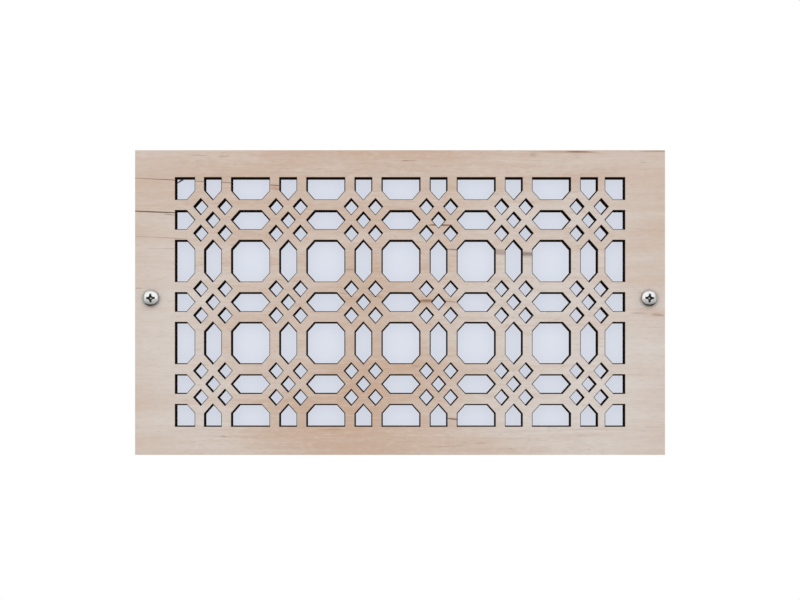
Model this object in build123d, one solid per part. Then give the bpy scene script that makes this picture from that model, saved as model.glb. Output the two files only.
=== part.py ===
from build123d import *
import math
import os

# Sidewall vent grille: a laser-cut plywood panel held by two pan-head screws.
# Millimetres. X runs along the panel, Z is up, and the front looks towards -Y.
# The wall is the plane y = 0, and the origin lies on it, midway between the two screws.

# Plywood panel
panel_width = 254.0
panel_height = 146.05
panel_thickness = 6.35

# Plain borders around the pierced field
side_border = 19.05
top_border = 12.85
bottom_border = 13.45

# Fretwork tiles: a cluster of five diamonds stands at the middle of each tile
tile_columns = 6
tile_rows = 3
field_short_of_tiles_x = 0.26
field_past_tiles_z = 0.84
fretwork_right_of_middle = 0.46

# Bars and openings of the fretwork
upright_bar = 4.36
cross_bar = 4.75
diamond_width = 6.79
diamond_height = 7.67
diamond_gap_x = 4.84
diamond_gap_z = 5.08
tall_slot_width = 8.60
tall_slot_tip_gap = 5.78
wide_slot_height = 9.51
wide_slot_tip_gap = 5.42
octagon_corner_cut = 3.88

# The openings that the field's two ends cut off sit a little nearer the middle
left_end_shift = 0.20
right_end_shift = 1.20

# The heat eases the front edge of each opening, and the cut then narrows towards the back
eased_edge = 0.30
kerf_draft = 0.32

# Screws, No. 8 pan head with a cross recess
screw_edge_distance = 7.65
screw_row_above_middle = 2.00
thread_diameter = 4.17
thread_runout = 0.60
plain_shank_diameter = 3.50
screw_hole_clearance = 0.30
screw_length = 25.4
screw_point_length = 4.6
screw_point_flat = 0.40
head_diameter = 8.20
head_height = 2.90
head_crown_radius = 9.0
head_corner_radius = 1.20
head_corner_share_of_rim = 0.8
recess_span = 4.55
recess_wing = 1.15
recess_core = 2.60
recess_depth = 2.30
recess_floor_span = 1.60
recess_floor_wing = 0.25
recess_floor_core = 0.50
left_screw_turn = 1.0
right_screw_turn = -2.5

# Sizes that follow from the ones above
field_width = panel_width - 2 * side_border
field_height = panel_height - top_border - bottom_border
field_middle_z = (bottom_border - top_border) / 2
tile_width = (field_width + 2 * field_short_of_tiles_x) / tile_columns
tile_height = (field_height - 2 * field_past_tiles_z) / tile_rows
slant = diamond_height / diamond_width
tall_slot_length = tile_height - diamond_height - 2 * tall_slot_tip_gap
wide_slot_length = tile_width - diamond_width - 2 * wide_slot_tip_gap
octagon_width = tile_width - tall_slot_width - 2 * upright_bar
octagon_height = tile_height - wide_slot_height - 2 * cross_bar
octagon_reach = octagon_height / 2 + (octagon_width / 2 - octagon_corner_cut) * slant
screw_spacing = panel_width - 2 * screw_edge_distance

# The plain shank ends with the panel's back face, so the thread starts at the wall
plain_shank_length = panel_thickness

# The panel's own middle on its back and front faces; a sketch there has X along the panel and Z up
back_plane = Plane(origin=(0, 0, -screw_row_above_middle), x_dir=(1, 0, 0), z_dir=(0, -1, 0))
front_plane = back_plane.offset(panel_thickness)


def slanted(width, height, reach):
    """A width by height opening cut by four slants that meet its upright middle line at +-reach."""
    rhombus = Polygon((0, -reach), (reach / slant, 0), (0, reach), (-reach / slant, 0))
    return rhombus & Rectangle(width, height)


def fretwork_outlines():
    """Every opening's outline on the front face, trimmed to the pierced field."""
    diamond = slanted(diamond_width, diamond_height, diamond_height / 2)
    tall_slot = slanted(tall_slot_width, tall_slot_length, tall_slot_length / 2)
    wide_slot = slanted(wide_slot_length, wide_slot_height, wide_slot_length * slant / 2)
    octagon = slanted(octagon_width, octagon_height, octagon_reach)

    first_x = fretwork_right_of_middle - (tile_columns - 1) / 2 * tile_width
    first_z = field_middle_z - (tile_rows - 1) / 2 * tile_height
    node_x = [first_x + i * tile_width for i in range(tile_columns)]
    node_z = [first_z + j * tile_height for j in range(tile_rows)]
    between_x = [x - tile_width / 2 for x in node_x] + [node_x[-1] + tile_width / 2]
    between_z = [z - tile_height / 2 for z in node_z] + [node_z[-1] + tile_height / 2]
    between_x[0] += left_end_shift
    between_x[-1] -= right_end_shift

    corner_x = (diamond_width + diamond_gap_x) / 2
    corner_z = (diamond_height + diamond_gap_z) / 2
    cluster = [(0, 0)] + [(sx * corner_x, sz * corner_z) for sx in (-1, 1) for sz in (-1, 1)]

    outlines = [Pos(x + dx, z + dz) * diamond for x in node_x for z in node_z for dx, dz in cluster]
    outlines += [Pos(x, z) * tall_slot for x in node_x for z in between_z]
    outlines += [Pos(x, z) * wide_slot for x in between_x for z in node_z]
    outlines += [Pos(x, z) * octagon for x in between_x for z in between_z]
    field = Pos(0, field_middle_z) * Rectangle(field_width, field_height)
    return [outline & field for outline in outlines]


def opening_cutter(outline):
    """The block that the laser takes out inside one outline: its eased mouth, then its tapered throat."""
    throat = offset(outline, amount=-eased_edge, kind=Kind.INTERSECTION)
    back_outline = offset(throat, amount=-kerf_draft, kind=Kind.INTERSECTION)
    throat_plane = front_plane.offset(-eased_edge)
    sections = [front_plane * outline, throat_plane * throat, back_plane * back_outline]
    return loft([section.face() for section in sections], ruled=True)


def make_panel():
    """The plywood sheet with its fretwork and its two clearance holes."""
    sheet = extrude(back_plane * Rectangle(panel_width, panel_height), amount=panel_thickness)
    hole = Circle(thread_diameter / 2 + screw_hole_clearance)
    holes = [Pos(side * screw_spacing / 2, screw_row_above_middle) * hole for side in (-1, 1)]
    hole_cutters = [extrude(back_plane * outline, amount=panel_thickness) for outline in holes]
    return sheet - [opening_cutter(outline) for outline in fretwork_outlines()] - hole_cutters


def make_screw():
    """One screw on the Z axis, its head standing on z = 0 and its shank running down."""
    shank_profile = Polyline(
        (0, 0),
        (plain_shank_diameter / 2, 0),
        (plain_shank_diameter / 2, thread_runout - plain_shank_length),
        (thread_diameter / 2, -plain_shank_length),
        (thread_diameter / 2, screw_point_length - screw_length),
        (screw_point_flat / 2, -screw_length),
        (0, -screw_length),
        close=True,
    )
    shank = revolve(Plane.XZ * make_face(shank_profile), Axis.Z)

    head_radius = head_diameter / 2
    crown_drop = head_crown_radius - math.sqrt(head_crown_radius**2 - head_radius**2)
    rim_height = head_height - crown_drop
    head_profile = Polyline((0, head_height), (0, 0), (head_radius, 0), (head_radius, rim_height))
    crown = RadiusArc((head_radius, rim_height), (0, head_height), -head_crown_radius)
    head = revolve(Plane.XZ * make_face(head_profile + crown), Axis.Z)
    rim = head.faces().filter_by(GeomType.CYLINDER)[0]
    rim_edge = rim.edges().filter_by(GeomType.CIRCLE).sort_by(Axis.Z)[-1]
    head = fillet(rim_edge, min(head_corner_radius, head_corner_share_of_rim * rim_height))

    mouth = Plane.XY.offset(head_height)
    floor = Plane.XY.offset(head_height - recess_depth)
    wing = loft(
        [
            (mouth * Rectangle(recess_span, recess_wing)).face(),
            (floor * Rectangle(recess_floor_span, recess_floor_wing)).face(),
        ],
        ruled=True,
    )
    core = loft([(mouth * Circle(recess_core / 2)).face(), (floor * Circle(recess_floor_core / 2)).face()])
    return head + shank - [wing, Rot(0, 0, 90) * wing, core]


panel = make_panel()
screw = make_screw()
screw_turns = {-1: left_screw_turn, 1: right_screw_turn}
screws = [
    front_plane * Pos(side * screw_spacing / 2, screw_row_above_middle) * Rot(0, 0, turn) * screw
    for side, turn in screw_turns.items()
]

os.makedirs("parts", exist_ok=True)
export_step(panel, "parts/grille_panel.step")
export_step(Compound(children=[item.solid() for item in screws]), "parts/mounting_screws.step")
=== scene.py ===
import math

import bpy
from mathutils import Matrix, Vector


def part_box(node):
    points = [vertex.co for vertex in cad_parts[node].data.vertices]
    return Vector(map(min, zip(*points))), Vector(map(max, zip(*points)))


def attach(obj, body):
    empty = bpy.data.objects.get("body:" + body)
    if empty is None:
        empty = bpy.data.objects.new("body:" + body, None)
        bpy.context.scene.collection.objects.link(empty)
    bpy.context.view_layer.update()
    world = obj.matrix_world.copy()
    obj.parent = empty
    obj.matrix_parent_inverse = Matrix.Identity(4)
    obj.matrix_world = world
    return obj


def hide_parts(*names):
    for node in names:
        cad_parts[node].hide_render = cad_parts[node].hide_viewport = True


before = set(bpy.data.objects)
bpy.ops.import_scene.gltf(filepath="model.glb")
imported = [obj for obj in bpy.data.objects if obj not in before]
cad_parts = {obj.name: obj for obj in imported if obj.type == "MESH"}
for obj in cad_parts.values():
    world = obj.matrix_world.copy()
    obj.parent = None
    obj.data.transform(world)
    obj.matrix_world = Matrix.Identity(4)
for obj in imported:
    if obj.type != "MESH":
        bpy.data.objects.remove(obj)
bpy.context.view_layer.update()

# Maple plywood panel
# One sheet of quarter-inch plywood faced with sanded, unfinished maple, pierced by a laser in one
# pass. The heat left every cut wall charred, and the veneer's figure runs on from bar to bar.
MM = 0.001
panel = bpy.data.objects["grille_panel"]
panel_low, panel_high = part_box("grille_panel")
panel_front = panel_low[1] / MM
panel_middle = (panel_low[2] + panel_high[2]) / 2 / MM
panel_half_width = panel_high[0] / MM
panel_half_height = (panel_high[2] - panel_low[2]) / 2 / MM


def srgb(code):
    """The linear colour of an sRGB hex code such as #C8AF9B."""
    parts = [int(code[i:i + 2], 16) / 255 for i in (1, 3, 5)]
    return [p / 12.92 if p <= 0.04045 else ((p + 0.055) / 1.055) ** 2.4 for p in parts] + [1.0]


def new_material(name):
    """An empty material of that name, ready for nodes."""
    material = bpy.data.materials.new(name)
    material.use_nodes = True
    material.node_tree.nodes.clear()
    return material


def add_node(material, kind, inputs, **settings):
    """Adds one node. An input, by name or number, takes a value or the output that it is linked to."""
    tree = material.node_tree
    made = tree.nodes.new(kind)
    for name, value in settings.items():
        setattr(made, name, value)
    for key, value in inputs.items():
        if isinstance(value, bpy.types.NodeSocket):
            tree.links.new(value, made.inputs[key])
        else:
            made.inputs[key].default_value = value
    return made.outputs


# Sanded maple: matt, pale, pinkish grey to tan in broad clouds along the grain, with fine dashes.
plywood = new_material("sanded_maple_plywood")
place = add_node(plywood, "ShaderNodeTexCoord", {})["Object"]
place = add_node(plywood, "ShaderNodeVectorMath", {0: place, "Scale": 1 / MM}, operation="SCALE")[0]

# The grain drifts up and down a little over a hand's breadth, and every streak drifts with it.
DRIFT_LENGTH = 70.0
DRIFT_HEIGHT = 5.0
slow = add_node(plywood, "ShaderNodeMapping", {"Vector": place, "Scale": [1 / DRIFT_LENGTH] * 3})[0]
drift = add_node(plywood, "ShaderNodeTexNoise", {"Vector": slow, "Scale": 1.0, "Detail": 1.0})["Color"]
drift = add_node(
    plywood, "ShaderNodeVectorMath", {0: drift, 1: (0.5, 0.5, 0.5)}, operation="SUBTRACT")[0]
bent = add_node(
    plywood, "ShaderNodeVectorMath", {0: drift, 1: (0, 0, DRIFT_HEIGHT), 2: place},
    operation="MULTIPLY_ADD")[0]

# The figure's marks lie on the front veneer only, so they fade out well before the back face.
VENEER_REACH = 5.0


def streaks(length, height, detail):
    """Noise drawn out along the grain into streaks of that length and height in millimetres."""
    drawn = add_node(
        plywood, "ShaderNodeMapping", {"Vector": bent, "Scale": (1 / length, 1.0, 1 / height)})[0]
    return add_node(
        plywood, "ShaderNodeTexNoise", {"Vector": drawn, "Scale": 1.0, "Detail": detail})["Fac"]


def figured(field, edge, marks):
    """Adds soft-ended marks to a field: x and z from the panel's middle, length, height, tilt, strength."""
    for x, z, length, height, tilt, strength in marks:
        spot = add_node(
            plywood, "ShaderNodeMapping",
            {"Vector": place, "Location": (x, panel_front, panel_middle + z),
             "Rotation": (0, -math.radians(tilt), 0),
             "Scale": (length / 2, VENEER_REACH, height / 2)}, vector_type="TEXTURE")[0]
        spot = add_node(
            plywood, "ShaderNodeTexGradient", {"Vector": spot}, gradient_type="SPHERICAL")["Fac"]
        spot = add_node(
            plywood, "ShaderNodeMapRange", {"Value": spot, 2: edge, 4: strength},
            interpolation_type="SMOOTHSTEP")[0]
        field = add_node(plywood, "ShaderNodeMath", {0: field, 1: spot}, operation="ADD")[0]
    return field


def tinted(under, pattern, low, high, strength, colour):
    """Lays a colour over the wood as a pattern goes from low to high, up to that strength."""
    amount = add_node(
        plywood, "ShaderNodeMapRange", {"Value": pattern, 1: low, 2: high, 4: strength},
        interpolation_type="SMOOTHSTEP")[0]
    return add_node(
        plywood, "ShaderNodeMix", {0: amount, 6: under, 7: colour}, data_type="RGBA")[2]


# Heartwood tan in the lower middle, paler sapwood to both sides.
SAPWOOD = srgb("#DAD2CC")
HEARTWOOD = srgb("#C9AB95")
tan_share = figured(0.50, 1.0, [
    (-30.0, -60.0, 130.0, 64.0, 4.0, 0.32),
    (-14.0, -32.0, 90.0, 70.0, 0.0, 0.30),
    (5.0, -29.0, 40.0, 22.0, 0.0, 0.12),
    (22.0, -50.0, 46.0, 30.0, 0.0, 0.14),
    (-16.0, 6.0, 64.0, 50.0, 0.0, 0.18),
    (14.0, 1.0, 44.0, 18.0, 0.0, 0.20),
    (20.0, 28.0, 60.0, 36.0, 0.0, 0.10),
    (-7.0, 32.0, 40.0, 24.0, 0.0, 0.08),
    (20.0, 72.0, 300.0, 26.0, 0.0, 0.18),
    (-34.0, 67.0, 40.0, 16.0, 0.0, -0.14),
    (48.0, 49.0, 40.0, 30.0, 0.0, -0.10),
    (-105.0, 34.0, 70.0, 40.0, 0.0, -0.16),
    (88.0, -40.0, 150.0, 110.0, 0.0, -0.48),
    (66.0, 4.0, 140.0, 80.0, 0.0, -0.28),
    (78.0, 40.0, 120.0, 40.0, 0.0, -0.26),
    (120.0, -12.0, 40.0, 50.0, 0.0, -0.12),
    (-62.0, -8.0, 40.0, 30.0, 0.0, -0.10),
    (-106.0, -8.0, 80.0, 100.0, 0.0, -0.30),
    (-100.0, -50.0, 100.0, 60.0, 0.0, -0.26),
])
broad = streaks(90.0, 9.0, 2.0)
broad = add_node(plywood, "ShaderNodeMapRange", {"Value": broad, 1: 0.3, 2: 0.7, 3: -0.14, 4: 0.14})[0]
tan_share = add_node(
    plywood, "ShaderNodeMath", {0: tan_share, 1: broad}, operation="ADD", use_clamp=True)[0]
plain = tinted(SAPWOOD, tan_share, 0.0, 1.0, 1.0, HEARTWOOD)
veneer = plain

# Earlywood and latewood lines a few tenths of a millimetre high, drawn to just show at this scale.
fine = streaks(30.0, 0.7, 4.0)
veneer = tinted(veneer, fine, 0.52, 0.75, 0.24, srgb("#B79E8C"))
veneer = tinted(veneer, fine, 0.48, 0.25, 0.24, srgb("#E6DCD4"))
bands = streaks(60.0, 2.6, 2.0)
veneer = tinted(veneer, bands, 0.5, 0.78, 0.24, srgb("#C2A48F"))

# Short brown flecks of ray tissue, and the cloudy mottle between them.
flecks = streaks(3.2, 0.45, 1.0)
veneer = tinted(veneer, flecks, 0.60, 0.80, 0.46, srgb("#AF9482"))
mottle = streaks(4.0, 1.6, 2.0)
veneer = tinted(veneer, mottle, 0.5, 0.75, 0.15, srgb("#B9A192"))
veneer = tinted(veneer, mottle, 0.5, 0.25, 0.15, srgb("#EAE0D8"))

# The figure is quieter towards the two ends.
QUIET_FROM = 95.0
QUIET_TO = 112.0
axes = add_node(plywood, "ShaderNodeSeparateXYZ", {0: place})
sideways = add_node(plywood, "ShaderNodeMath", {0: axes[0]}, operation="ABSOLUTE")[0]
veneer = tinted(veneer, sideways, QUIET_FROM, QUIET_TO, 0.35, plain)

# Pink flushes, mostly along the top border.
pink_share = figured(0.0, 0.9, [
    (-62.5, 70.7, 20.0, 9.0, 0.0, 0.45),
    (-21.0, 68.7, 34.0, 11.0, 0.0, 0.15),
    (11.5, 71.7, 14.0, 4.5, 0.0, 0.40),
    (24.0, 69.5, 30.0, 6.0, 0.0, 0.30),
    (62.0, 70.7, 30.0, 8.0, 0.0, 0.32),
    (-59.5, 55.1, 10.0, 6.0, -3.0, 0.55),
    (4.0, -29.3, 22.0, 12.0, 0.0, 0.25),
    (120.0, -4.7, 30.0, 7.0, -3.0, 0.50),
    (122.0, -66.8, 30.0, 5.0, 0.0, 0.30),
])
broken = streaks(14.0, 0.9, 3.0)
broken = add_node(plywood, "ShaderNodeMapRange", {"Value": broken, 1: 0.3, 2: 0.7, 3: 0.45, 4: 1.25})[0]
pink_share = add_node(plywood, "ShaderNodeMath", {0: pink_share, 1: broken}, operation="MULTIPLY")[0]
veneer = tinted(veneer, pink_share, 0.0, 1.0, 1.0, srgb("#CBA999"))

# Grey mineral streak to the right of the middle, and a few short grey marks elsewhere.
grey_share = figured(0.0, 0.6, [
    (47.0, 24.3, 58.0, 4.0, -3.0, 0.55),
    (25.1, 25.4, 8.0, 1.0, -3.0, 0.60),
    (62.0, 22.6, 12.0, 4.0, -3.0, 0.35),
    (-24.1, 15.9, 8.0, 1.6, 0.0, 0.45),
    (116.4, 67.1, 5.0, 1.0, 0.0, 0.35),
    (-95.9, 70.6, 12.0, 0.9, 0.0, 0.40),
    (87.4, -63.6, 28.0, 1.0, 0.0, 0.25),
])
veneer = tinted(veneer, grey_share, 0.0, 1.0, 1.0, srgb("#93827A"))

# Brown streaks and gum marks, each as long as it is on the object.
brown_share = figured(0.0, 0.6, [
    (-84.0, 70.1, 9.0, 1.0, 0.0, 0.50),
    (4.4, 68.0, 11.0, 1.0, 0.0, 0.65),
    (19.0, 37.1, 16.0, 1.2, 0.0, 1.20),
    (-11.4, 16.4, 5.0, 1.0, 0.0, 0.35),
    (-11.8, 3.3, 11.0, 2.6, -10.0, 0.45),
    (-27.0, 4.3, 6.0, 1.2, -10.0, 0.40),
    (12.7, 0.7, 12.0, 2.8, 0.0, 0.70),
    (24.4, 0.4, 9.0, 0.9, -6.0, 0.55),
    (7.4, -30.7, 8.0, 2.2, 0.0, 0.45),
    (25.3, -55.9, 9.0, 0.9, -10.0, 0.80),
    (-84.6, -64.2, 5.5, 0.7, 0.0, 0.65),
    (-97.0, -63.9, 7.0, 0.8, 0.0, 0.25),
    (-32.4, -60.9, 16.0, 0.8, 0.0, 0.35),
    (22.8, -68.9, 26.0, 1.1, 3.0, 0.40),
    (38.6, -67.4, 10.0, 0.9, 2.0, 0.40),
    (54.6, -65.3, 12.0, 0.8, 1.5, 0.35),
    (121.0, -59.7, 14.0, 0.9, 0.0, 0.35),
    (123.6, -5.9, 10.0, 1.8, -6.0, 0.42),
    (114.8, -5.2, 11.0, 1.5, -3.0, 0.45),
    (76.4, 72.3, 44.0, 1.2, 0.0, 0.50),
    (88.0, 72.1, 22.0, 1.2, -2.0, 0.45),
    (122.0, 72.5, 20.0, 1.2, 0.0, 0.60),
    (64.0, 71.0, 6.0, 3.0, 0.0, 0.35),
    (117.5, 34.9, 22.0, 0.9, -4.5, 0.30),
    (-125.6, 6.9, 6.0, 0.9, 0.0, 0.40),
    (-115.3, 31.2, 44.0, 0.8, -2.6, 0.55),
    (-113.8, 25.9, 24.0, 0.7, -1.0, 0.45),
    (-120.0, -9.2, 18.0, 0.6, 0.0, 0.20),
    (-59.5, 54.7, 7.5, 2.2, -3.0, 0.45),
])
brown_share = add_node(plywood, "ShaderNodeMath", {0: brown_share, 1: broken}, operation="MULTIPLY")[0]
veneer = tinted(veneer, brown_share, 0.0, 1.0, 1.0, srgb("#97745C"))

# Hairline cracks from the left end, which the openings break into, and two dark gum lines.
crack_share = figured(0.0, 0.5, [
    (-87.0, 57.65, 82.0, 0.55, -2.96, 0.55),
    (-122.0, 59.35, 44.0, 0.55, -2.7, 0.45),
    (-59.6, 56.2, 8.0, 0.60, -2.9, 0.50),
    (-118.0, 43.45, 44.0, 0.80, -2.3, 0.78),
    (-110.4, 42.15, 8.0, 0.55, -7.0, 0.55),
    (19.2, 37.2, 14.0, 0.90, -3.0, 0.45),
    (25.4, -55.65, 10.0, 1.00, -3.0, 0.45),
])
veneer = tinted(veneer, crack_share, 0.0, 1.0, 1.0, srgb("#4E372C"))

# Charred walls: black carbon, a shade browner on the cross plies and on the eased front edge.
PLIES = 5
soot = add_node(plywood, "ShaderNodeMapping", {"Vector": place, "Scale": (2.4, 0.15, 2.4)})[0]
soot = add_node(plywood, "ShaderNodeTexNoise", {"Vector": soot, "Scale": 1.0, "Detail": 2.0})["Fac"]
ply = add_node(
    plywood, "ShaderNodeMath", {0: axes[1], 1: PLIES * math.pi / panel_front}, operation="MULTIPLY")[0]
ply = add_node(plywood, "ShaderNodeMath", {0: ply}, operation="SINE")[0]
ply = add_node(plywood, "ShaderNodeMath", {0: ply, 1: soot}, operation="MULTIPLY")[0]
char = tinted(srgb("#1B1411"), ply, -0.2, 0.4, 0.8, srgb("#30241D"))

# The panel's own outer edges saw less heat, and stay brown.
EDGE_SPARE = 0.05
at_ends = add_node(
    plywood, "ShaderNodeMath", {0: sideways, 1: panel_half_width - EDGE_SPARE},
    operation="GREATER_THAN")[0]
upwards = add_node(plywood, "ShaderNodeMath", {0: axes[2], 1: panel_middle}, operation="SUBTRACT")[0]
upwards = add_node(plywood, "ShaderNodeMath", {0: upwards}, operation="ABSOLUTE")[0]
upwards = add_node(
    plywood, "ShaderNodeMath", {0: upwards, 1: panel_half_height - EDGE_SPARE},
    operation="GREATER_THAN")[0]
outer = add_node(plywood, "ShaderNodeMath", {0: at_ends, 1: upwards}, operation="MAXIMUM")[0]
outer_edge = tinted(srgb("#4B3323"), ply, -0.3, 0.4, 1.0, srgb("#8A6A4E"))
char = tinted(char, outer, 0.0, 1.0, 1.0, outer_edge)

# The way a surface faces tells what it is: char on the walls, browner char on the eased edge, and veneer
# on both faces.
facing = add_node(plywood, "ShaderNodeNewGeometry", {})["Normal"]
facing = add_node(plywood, "ShaderNodeSeparateXYZ", {0: facing})[1]
facing = add_node(plywood, "ShaderNodeMath", {0: facing}, operation="ABSOLUTE")[0]
char = tinted(char, facing, 0.3, 0.6, 1.0, srgb("#251B15"))
surface = tinted(char, facing, 0.8, 0.95, 1.0, veneer)

# The grain can be felt on the two faces only.
flat_face = add_node(plywood, "ShaderNodeMath", {0: facing, 1: 0.9}, operation="GREATER_THAN")[0]
grain_height = add_node(plywood, "ShaderNodeMath", {0: fine, 1: flat_face}, operation="MULTIPLY")[0]
relief = add_node(
    plywood, "ShaderNodeBump",
    {"Height": grain_height, "Strength": 0.25, "Distance": 0.06 * MM})["Normal"]
roughness = add_node(plywood, "ShaderNodeMapRange", {"Value": fine, 1: 0.3, 2: 0.7, 3: 0.6, 4: 0.75})[0]
finish = add_node(
    plywood, "ShaderNodeBsdfPrincipled",
    {"Base Color": surface, "Roughness": roughness, "Specular IOR Level": 0.0, "Normal": relief})[0]
add_node(plywood, "ShaderNodeOutputMaterial", {"Surface": finish})

# The cuts of the real panel lie a little further out than the solid's wherever two slants meet in a tip,
# so a copy of the panel stands for it, on which those slanted walls are moved out. A slanted wall is known
# by its lean, the sideways part of its direction.
SLANT_SHIFT = 0.27
SLANT_LEAN = 0.749
LEAN_SPARE = 0.05
FACE_ON = 0.95
SAME_WAY = 0.99
WELD = 0.001
PANEL_SMOOTHING = math.radians(25)


def select_only(piece):
    """Makes one object the active one and the only one selected."""
    bpy.ops.object.select_all(action="DESELECT")
    bpy.context.view_layer.objects.active = piece
    piece.select_set(True)


def leans(wall):
    """Whether a wall, given by its direction across the sheet, is one of the slanted ones."""
    return abs(abs(wall.x) - SLANT_LEAN) < LEAN_SPARE


pierced = bpy.data.objects.new("pierced_panel", panel.data.copy())
bpy.context.collection.objects.link(pierced)
select_only(pierced)
bpy.ops.mesh.customdata_custom_splitnormals_clear()
bpy.ops.object.mode_set(mode="EDIT")
bpy.ops.mesh.select_all(action="SELECT")
bpy.ops.mesh.remove_doubles(threshold=WELD * MM)
bpy.ops.object.mode_set(mode="OBJECT")

# Every wall face with its direction, and the different directions that meet at each corner.
wall_faces = []
corner_walls = {}
for face in pierced.data.polygons:
    if abs(face.normal.y) < FACE_ON:
        wall = Vector((face.normal.x, face.normal.z)).normalized()
        wall_faces.append((wall, list(face.vertices)))
        for corner in face.vertices:
            known = corner_walls.setdefault(corner, [])
            if all(wall.dot(other) < SAME_WAY for other in known):
                known.append(wall)
tips = {corner for corner, walls in corner_walls.items() if sum(leans(wall) for wall in walls) == 2}

# From the tips, the whole of each slanted wall is taken in, and moved square to itself.
moved = set()
grown = tips
while len(grown) > len(moved):
    moved = grown
    reached = [corners for wall, corners in wall_faces if leans(wall) and moved.intersection(corners)]
    grown = moved.union(*reached)
for corner in moved:
    walls = corner_walls[corner][:2]
    shifts = [-SLANT_SHIFT * MM if leans(wall) else 0.0 for wall in walls]
    if len(walls) == 2:
        step = Matrix(walls).inverted_safe() @ Vector(shifts)
    else:
        step = walls[0] * shifts[0]
    pierced.data.vertices[corner].co.x += step.x
    pierced.data.vertices[corner].co.z += step.y
pierced.data.update()
select_only(pierced)
bpy.ops.object.shade_smooth_by_angle(angle=PANEL_SMOOTHING)
pierced.data.materials.clear()
pierced.data.materials.append(plywood)
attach(pierced, "root")
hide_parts("grille_panel")

# Corner splinter
# A sliver of the back veneer that the cut left hanging across the corner of the top left opening,
# singed by the heat. It is still joined to the sheet at both ends.
SPLINTER_THICKNESS = 0.62
SPLINTER_SIDES = 6
SPLINTER_LEAN = math.radians(60)
FIBRE_LEAN = math.radians(38)
splinter_start = (-107.8, -0.5, panel_middle + 57.6)
splinter_steps = [((0.90, -0.05, 0.58), 1.10), ((0.90, 0.0, 0.62), 1.25), ((0.90, 0.05, 0.58), 1.30),
                  ((0.86, 0.0, 0.60), 1.10)]


def to_frame(piece, matrix):
    """Moves a piece that was modelled in millimetres to its place, and puts the place in its mesh."""
    select_only(piece)
    piece.matrix_world = matrix @ Matrix.Scale(MM, 4) @ piece.matrix_world
    bpy.ops.object.transform_apply(location=True, rotation=True, scale=True)


def apply_modifier(piece, kind, **settings):
    """Adds a modifier with its settings to a piece and applies it."""
    select_only(piece)
    modifier = piece.modifiers.new(kind.lower(), kind)
    for name, value in settings.items():
        setattr(modifier, name, value)
    bpy.ops.object.modifier_apply(modifier=modifier.name)


bpy.ops.object.select_all(action="DESELECT")
bpy.ops.mesh.primitive_circle_add(
    vertices=SPLINTER_SIDES, radius=SPLINTER_THICKNESS / 2, fill_type="NGON", location=splinter_start,
    rotation=(0, SPLINTER_LEAN, 0))
splinter = bpy.context.object
splinter.name = "corner_splinter"
bpy.ops.object.mode_set(mode="EDIT")
bpy.ops.mesh.select_all(action="SELECT")
for step, swell in splinter_steps:
    bpy.ops.mesh.extrude_region_move(TRANSFORM_OT_translate={"value": step})
    bpy.ops.transform.resize(value=(swell, swell, swell))
bpy.ops.mesh.select_all(action="SELECT")
bpy.ops.mesh.normals_make_consistent(inside=False)
bpy.ops.object.mode_set(mode="OBJECT")
apply_modifier(splinter, "SUBSURF", levels=2, render_levels=2)
to_frame(splinter, Matrix.Identity(4))
bpy.ops.object.shade_smooth()

# Singed maple: dull grey-brown, streaked along the sliver.
singed = new_material("singed_maple_fibre")
fibre = add_node(singed, "ShaderNodeTexCoord", {})["Object"]
fibre = add_node(
    singed, "ShaderNodeMapping",
    {"Vector": fibre, "Rotation": (0, FIBRE_LEAN, 0), "Scale": (0.4 / MM, 4 / MM, 4 / MM)})[0]
fibre = add_node(singed, "ShaderNodeTexNoise", {"Vector": fibre, "Scale": 1.0, "Detail": 2.0})["Fac"]
fibre_colour = add_node(
    singed, "ShaderNodeMix", {0: fibre, 6: srgb("#544D49"), 7: srgb("#9A928B")}, data_type="RGBA")[2]
fibre_relief = add_node(
    singed, "ShaderNodeBump", {"Height": fibre, "Strength": 0.5, "Distance": 0.1 * MM})["Normal"]
finish = add_node(
    singed, "ShaderNodeBsdfPrincipled",
    {"Base Color": fibre_colour, "Roughness": 0.9, "Specular IOR Level": 0.0, "Normal": fibre_relief})[0]
add_node(singed, "ShaderNodeOutputMaterial", {"Surface": finish})
splinter.data.materials.append(singed)
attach(splinter, "root")

# Pan-head screws
# Two No. 8 sheet-metal screws with a cross recess, cold-headed from steel wire, thread-rolled and
# bright zinc plated. Each goes through its hole and holds the panel with the flat of its head.
screws_low, screws_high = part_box("mounting_screws")
HEAD_RADIUS = (screws_high[2] - screws_low[2]) / 2 / MM
HEAD_HEIGHT = 2.9
SCREW_LENGTH = screws_high[1] / MM - panel_front
SCREW_SPACING = (screws_high[0] - screws_low[0]) / MM - 2 * HEAD_RADIUS
SCREW_ROW = (screws_high[2] + screws_low[2]) / 2 / MM
SCREW_TURNS = {"left_screw": (-1, 1.0), "right_screw": (1, -2.5)}
CROWN_RADIUS = 9.0
CORNER_RADIUS = 1.2
CROWN_STEPS = 6
CORNER_STEPS = 7
HEAD_SIDES = 64
SHANK_RADIUS = 1.75
SHANK_LENGTH = -panel_front
SHANK_TAIL = 0.6
THREAD_RADIUS = 2.085
THREAD_ROOT = 1.45
THREAD_PITCH = 1.693
THREAD_FLANK = 0.37
THREAD_CREST = 0.12
THREAD_SIDES = 32
THREAD_LAP = 0.85
THREAD_TOP = -SHANK_LENGTH + THREAD_LAP
THREAD_LEAD = 0.3
TAIL_RADIUS = 0.9 * THREAD_ROOT
POINT_LENGTH = 4.6
POINT_RADIUS = 0.2
RECESS_DEPTH = 2.3
RECESS_MOUTH = (4.55, 1.15)
RECESS_FLOOR = (1.90, 0.40)
RECESS_CORE_MOUTH = 1.3
RECESS_CORE_FLOOR = 0.06
RECESS_CORE_SIDES = 24
RECESS_SPARE = 0.6
EDGE_BREAK = 0.07
BREAK_ANGLE = math.radians(38)
SCREW_SMOOTHING = math.radians(32)


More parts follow.
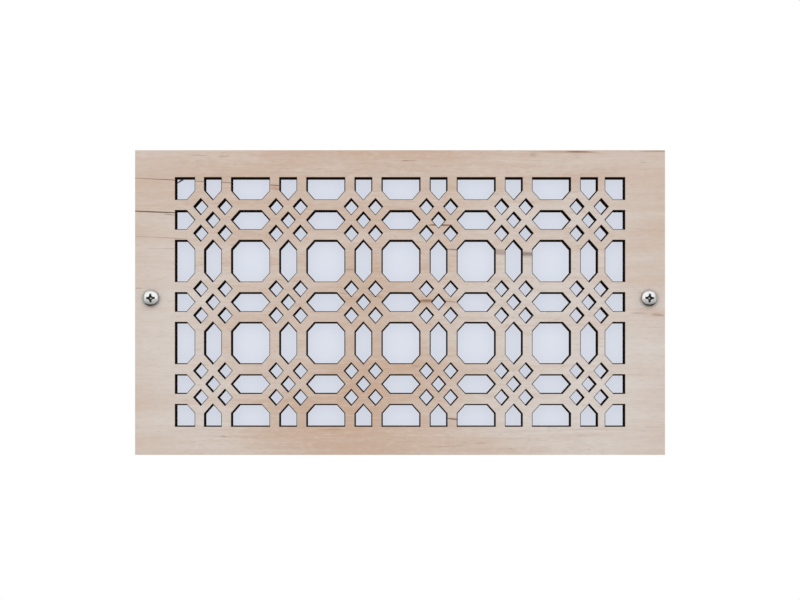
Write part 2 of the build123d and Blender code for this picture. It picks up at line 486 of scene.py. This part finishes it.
def drawn_profile(name, profile):
    """An open line through (radius, height) points in the XZ plane, drawn point by point."""
    bpy.ops.object.select_all(action="DESELECT")
    bpy.ops.mesh.primitive_plane_add(size=0.1, location=(profile[0][0], 0, profile[0][1]))
    bpy.context.object.name = name
    bpy.ops.object.mode_set(mode="EDIT")
    bpy.ops.mesh.select_all(action="SELECT")
    bpy.ops.mesh.merge(type="CENTER")
    for (r0, z0), (r1, z1) in zip(profile, profile[1:]):
        bpy.ops.mesh.extrude_region_move(TRANSFORM_OT_translate={"value": (r1 - r0, 0, z1 - z0)})
    bpy.ops.object.mode_set(mode="OBJECT")
    bpy.ops.object.transform_apply(location=True, rotation=True, scale=True)
    return bpy.context.object


# The head and the plain shank are one turned form: crown, rounded corner, rim, underside and shank.
corner_turn = math.asin((HEAD_RADIUS - CORNER_RADIUS) / (CROWN_RADIUS - CORNER_RADIUS))
crown_middle = HEAD_HEIGHT - CROWN_RADIUS
corner_middle = crown_middle + (CROWN_RADIUS - CORNER_RADIUS) * math.cos(corner_turn)
crown_angles = [corner_turn * i / CROWN_STEPS for i in range(CROWN_STEPS)]
corner_angles = [
    corner_turn + (math.pi / 2 - corner_turn) * i / CORNER_STEPS for i in range(CORNER_STEPS + 1)]
head_profile = [
    (CROWN_RADIUS * math.sin(a), crown_middle + CROWN_RADIUS * math.cos(a)) for a in crown_angles]
head_profile += [
    (HEAD_RADIUS - CORNER_RADIUS + CORNER_RADIUS * math.sin(a), corner_middle + CORNER_RADIUS * math.cos(a))
    for a in corner_angles]
head_profile += [
    (HEAD_RADIUS, 0), (SHANK_RADIUS, 0), (SHANK_RADIUS, -SHANK_LENGTH),
    (TAIL_RADIUS, -SHANK_LENGTH - SHANK_TAIL), (0, -SHANK_LENGTH - SHANK_TAIL)]
screw = drawn_profile("screw", head_profile)
bpy.ops.object.mode_set(mode="EDIT")
bpy.ops.mesh.select_all(action="SELECT")
bpy.ops.mesh.spin(steps=HEAD_SIDES, angle=2 * math.pi, center=(0, 0, 0), axis=(0, 0, 1))
bpy.ops.mesh.select_all(action="SELECT")
bpy.ops.mesh.remove_doubles(threshold=WELD)
bpy.ops.mesh.normals_make_consistent(inside=False)
bpy.ops.object.mode_set(mode="OBJECT")

# The cross recess: two tapered wings square to each other and a tapered core between them.
recess_tools = []
for turn in (0, math.pi / 2):
    bpy.ops.object.select_all(action="DESELECT")
    bpy.ops.mesh.primitive_cube_add(
        size=1.0, location=(0, 0, HEAD_HEIGHT + (RECESS_SPARE - RECESS_DEPTH) / 2), rotation=(0, 0, turn),
        scale=(RECESS_FLOOR[0], RECESS_FLOOR[1], RECESS_DEPTH + RECESS_SPARE))
    wing = bpy.context.object
    bpy.ops.object.transform_apply(location=True, rotation=False, scale=True)
    reach = (RECESS_DEPTH + RECESS_SPARE) / RECESS_DEPTH
    widening = [1 + (mouth / floor - 1) * reach for mouth, floor in zip(RECESS_MOUTH, RECESS_FLOOR)]
    for vertex in wing.data.vertices:
        if vertex.co.z > HEAD_HEIGHT:
            vertex.co.x *= widening[0]
            vertex.co.y *= widening[1]
    recess_tools.append(wing)
bpy.ops.object.select_all(action="DESELECT")
core_taper = (RECESS_CORE_MOUTH - RECESS_CORE_FLOOR) / RECESS_DEPTH
bpy.ops.mesh.primitive_cone_add(
    vertices=RECESS_CORE_SIDES, radius1=RECESS_CORE_FLOOR,
    radius2=RECESS_CORE_MOUTH + core_taper * RECESS_SPARE,
    depth=RECESS_DEPTH + RECESS_SPARE, location=(0, 0, HEAD_HEIGHT + (RECESS_SPARE - RECESS_DEPTH) / 2))
recess_tools.append(bpy.context.object)
for tool in recess_tools:
    apply_modifier(screw, "BOOLEAN", object=tool, operation="DIFFERENCE", solver="EXACT")
    bpy.data.objects.remove(tool)
apply_modifier(
    screw, "BEVEL", width=EDGE_BREAK, segments=2, limit_method="ANGLE", angle_limit=BREAK_ANGLE,
    use_clamp_overlap=True)

# The rolled thread: one pitch of it wound down the axis, cut square at both ends, then drawn in to
# the root where it starts and to a point where it ends.
thread_foot = -SCREW_LENGTH - THREAD_PITCH
thread_turns = math.ceil((THREAD_TOP - thread_foot) / THREAD_PITCH)
root_flat = THREAD_PITCH - 2 * THREAD_FLANK - THREAD_CREST
thread_profile = [
    (THREAD_ROOT, thread_foot),
    (THREAD_ROOT, thread_foot + root_flat),
    (THREAD_RADIUS, thread_foot + root_flat + THREAD_FLANK),
    (THREAD_RADIUS, thread_foot + root_flat + THREAD_FLANK + THREAD_CREST),
    (THREAD_ROOT, thread_foot + THREAD_PITCH)]
thread = drawn_profile("thread", thread_profile)
apply_modifier(
    thread, "SCREW", axis="Z", screw_offset=THREAD_PITCH, iterations=thread_turns, steps=THREAD_SIDES,
    render_steps=THREAD_SIDES, use_merge_vertices=True, merge_threshold=WELD)
bpy.ops.object.mode_set(mode="EDIT")
for cut, outwards in ((THREAD_TOP, 1), (-SCREW_LENGTH, -1)):
    bpy.ops.mesh.select_all(action="SELECT")
    bpy.ops.mesh.remove_doubles(threshold=WELD)
    bpy.ops.mesh.select_all(action="SELECT")
    bpy.ops.mesh.bisect(
        plane_co=(0, 0, cut), plane_no=(0, 0, outwards), use_fill=True, clear_outer=True)
bpy.ops.mesh.select_all(action="SELECT")
bpy.ops.mesh.normals_make_consistent(inside=False)
bpy.ops.object.mode_set(mode="OBJECT")
for vertex in thread.data.vertices:
    radius = math.hypot(vertex.co.x, vertex.co.y)
    started = min(1.0, max(0.0, (-SHANK_LENGTH + THREAD_LEAD - vertex.co.z) / THREAD_PITCH))
    into_point = max(0.0, POINT_LENGTH - SCREW_LENGTH - vertex.co.z) / POINT_LENGTH
    drawn = THREAD_ROOT + (radius - THREAD_ROOT) * started
    drawn *= 1 - into_point * (1 - POINT_RADIUS / THREAD_RADIUS)
    vertex.co.x *= drawn / radius
    vertex.co.y *= drawn / radius
apply_modifier(screw, "BOOLEAN", object=thread, operation="UNION", solver="EXACT")
bpy.data.objects.remove(thread)
select_only(screw)
bpy.ops.object.shade_smooth_by_angle(angle=SCREW_SMOOTHING)

# Bright zinc plate over steel: a clean grey mirror, slightly blurred and clouded by handling, with painted
# shade darkening it to near black in the recess and where the head's rim meets the panel.
plated_steel = new_material("bright_zinc_plated_steel")
plate = add_node(plated_steel, "ShaderNodeTexCoord", {})["Object"]
cloud = add_node(
    plated_steel, "ShaderNodeTexNoise", {"Vector": plate, "Scale": 0.7 / MM, "Detail": 3.0})["Fac"]
plate_colour = add_node(
    plated_steel, "ShaderNodeMix", {0: cloud, 6: srgb("#B2B3B3"), 7: srgb("#C8C8C6")}, data_type="RGBA")[2]
# Painted shade: ambient occlusion within 0.9 mm mixes the plate towards near black in the recess and at the
# rim's foot.
painted_recess_shade = add_node(
    plated_steel, "ShaderNodeAmbientOcclusion", {"Distance": 0.9 * MM}, samples=8)["AO"]
painted_recess_shade = add_node(plated_steel, "ShaderNodeMapRange", {"Value": painted_recess_shade, 1: 0.45, 2: 0.85})[0]
plate_colour = add_node(
    plated_steel, "ShaderNodeMix", {0: painted_recess_shade, 6: srgb("#2E2D2C"), 7: plate_colour}, data_type="RGBA")[2]
plate_roughness = add_node(
    plated_steel, "ShaderNodeMapRange", {"Value": cloud, 1: 0.3, 2: 0.7, 3: 0.14, 4: 0.23})[0]
grit = add_node(
    plated_steel, "ShaderNodeTexNoise", {"Vector": plate, "Scale": 5 / MM, "Detail": 2.0})["Fac"]
plate_relief = add_node(
    plated_steel, "ShaderNodeBump", {"Height": grit, "Strength": 0.15, "Distance": 0.02 * MM})["Normal"]
finish = add_node(
    plated_steel, "ShaderNodeBsdfPrincipled",
    {"Base Color": plate_colour, "Metallic": 1.0, "Roughness": plate_roughness, "Normal": plate_relief})[0]
add_node(plated_steel, "ShaderNodeOutputMaterial", {"Surface": finish})
screw.data.materials.clear()
screw.data.materials.append(plated_steel)

for name, (side, turn) in SCREW_TURNS.items():
    copy = bpy.data.objects.new(name, screw.data.copy())
    bpy.context.collection.objects.link(copy)
    seat = Matrix.Translation(Vector((side * SCREW_SPACING / 2, panel_front, SCREW_ROW)) * MM)
    stand = Matrix.Rotation(math.pi / 2, 4, "X") @ Matrix.Rotation(math.radians(turn), 4, "Z")
    to_frame(copy, seat @ stand)
    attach(copy, "root")
    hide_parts("mounting_screws")
bpy.data.objects.remove(screw)

# Stage
# Soft light from above and in front, white all round, a pale floor well below, and a pale sheet
# close behind the openings. A black card below and a grey one at each side show only in the screws.
BACKING_GAP = 0.4
BACKING_SIZE = (0.236, 0.132)
FLOOR_SIZE = 3.0
FLOOR_LEVEL = -0.6
target = Vector((0, panel_low[1], 0))
key_light = bpy.data.lights.new("key_light", "AREA")
key_light.shape = "RECTANGLE"
key_light.size = 3.0
key_light.size_y = 1.4
key_light.energy = 10.0
key = bpy.data.objects.new("key_light", key_light)
key.location = (-0.1, -1.5, 0.6)
key.rotation_euler = (target - key.location).to_track_quat("-Z", "Y").to_euler()
bpy.context.collection.objects.link(key)

backing_paper = new_material("backing_paper")
light_path = add_node(backing_paper, "ShaderNodeLightPath", {})
backfacing = add_node(backing_paper, "ShaderNodeNewGeometry", {})["Backfacing"]
front_only = add_node(backing_paper, "ShaderNodeMath", {0: 1.0, 1: backfacing}, operation="SUBTRACT")[0]
shown = add_node(
    backing_paper, "ShaderNodeMath", {0: light_path["Is Camera Ray"], 1: front_only},
    operation="MULTIPLY")[0]
paper_glow = add_node(backing_paper, "ShaderNodeEmission", {"Color": srgb("#C8CDD9")})[0]
paper_shade = add_node(backing_paper, "ShaderNodeBsdfDiffuse", {"Color": srgb("#757779")})[0]
paper = add_node(backing_paper, "ShaderNodeAddShader", {0: paper_glow, 1: paper_shade})[0]
clear = add_node(backing_paper, "ShaderNodeBsdfTransparent", {})[0]
paper = add_node(backing_paper, "ShaderNodeMixShader", {0: shown, 1: clear, 2: paper})[0]
add_node(backing_paper, "ShaderNodeOutputMaterial", {"Surface": paper})

bpy.ops.object.select_all(action="DESELECT")
bpy.ops.mesh.primitive_plane_add(
    size=1.0, location=(0, BACKING_GAP * MM, panel_middle * MM), rotation=(math.pi / 2, 0, 0))
backing = bpy.context.object
backing.name = "backing_sheet"
backing.scale = (BACKING_SIZE[0], BACKING_SIZE[1], 1.0)
bpy.ops.object.transform_apply(location=False, rotation=True, scale=True)
backing.data.materials.append(backing_paper)

floor_paint = new_material("matt_floor_paint")
floor_finish = add_node(
    floor_paint, "ShaderNodeBsdfPrincipled", {"Base Color": srgb("#DEDDDA"), "Roughness": 0.9})[0]
add_node(floor_paint, "ShaderNodeOutputMaterial", {"Surface": floor_finish})
bpy.ops.object.select_all(action="DESELECT")
bpy.ops.mesh.primitive_plane_add(size=FLOOR_SIZE, location=(0, 0, FLOOR_LEVEL))
floor = bpy.context.object
floor.name = "floor"
floor.data.materials.append(floor_paint)

# Each card's colour, middle and size in metres, and its turn about Y.
cards = {
    "black_card": ("#101010", (0, -0.205, -0.3), (1.2, 0.43), 0),
    "left_grey_card": ("#A8A8A8", (-0.5, -0.12, 0), (0.6, 0.24), math.pi / 2),
    "right_grey_card": ("#A8A8A8", (0.5, -0.12, 0), (0.6, 0.24), math.pi / 2),
}
for name, (colour, middle, size, turn) in cards.items():
    card_stock = new_material("matt_" + name)
    card_finish = add_node(
        card_stock, "ShaderNodeBsdfPrincipled", {"Base Color": srgb(colour), "Roughness": 0.9})[0]
    add_node(card_stock, "ShaderNodeOutputMaterial", {"Surface": card_finish})
    bpy.ops.object.select_all(action="DESELECT")
    bpy.ops.mesh.primitive_plane_add(size=1.0, location=middle, rotation=(0, turn, 0))
    card = bpy.context.object
    card.name = name
    card.scale = (size[0], size[1], 1.0)
    bpy.ops.object.transform_apply(location=False, rotation=True, scale=True)
    card.data.materials.append(card_stock)
    card.visible_camera = False
    card.visible_diffuse = False
    card.visible_transmission = False
    card.visible_shadow = False

world = bpy.data.worlds.new("white_room")
world.use_nodes = True
world.node_tree.nodes.clear()
seen = add_node(world, "ShaderNodeLightPath", {})
seen_white = add_node(
    world, "ShaderNodeMath", {0: seen["Is Camera Ray"], 1: seen["Is Glossy Ray"]}, operation="MAXIMUM")[0]
seen_white = add_node(
    world, "ShaderNodeMath", {0: seen_white, 1: seen["Is Transmission Ray"]}, operation="MAXIMUM")[0]
fill = add_node(world, "ShaderNodeBackground", {"Color": srgb("#FFFFFF"), "Strength": 0.775})[0]
white = add_node(world, "ShaderNodeBackground", {"Color": srgb("#FFFFFF"), "Strength": 1.0})[0]
room = add_node(world, "ShaderNodeMixShader", {0: seen_white, 1: fill, 2: white})[0]
add_node(world, "ShaderNodeOutputWorld", {"Surface": room})
bpy.context.scene.world = world

# Camera
# Square to the panel, 0.95 m away, with its eye level with the lower openings.
camera_data = bpy.data.cameras.new("camera")
camera_data.sensor_fit = "HORIZONTAL"
camera_data.sensor_width = 36.0
camera_data.lens = 89.195
camera_data.shift_x = 0.00125
camera_data.shift_y = 0.135
camera = bpy.data.objects.new("camera", camera_data)
camera.location = (-0.0005, -0.95635, -0.05254)
camera.rotation_euler = (math.pi / 2, 0, 0)
bpy.context.collection.objects.link(camera)
bpy.context.scene.camera = camera
bpy.context.scene.view_settings.view_transform = "Standard"
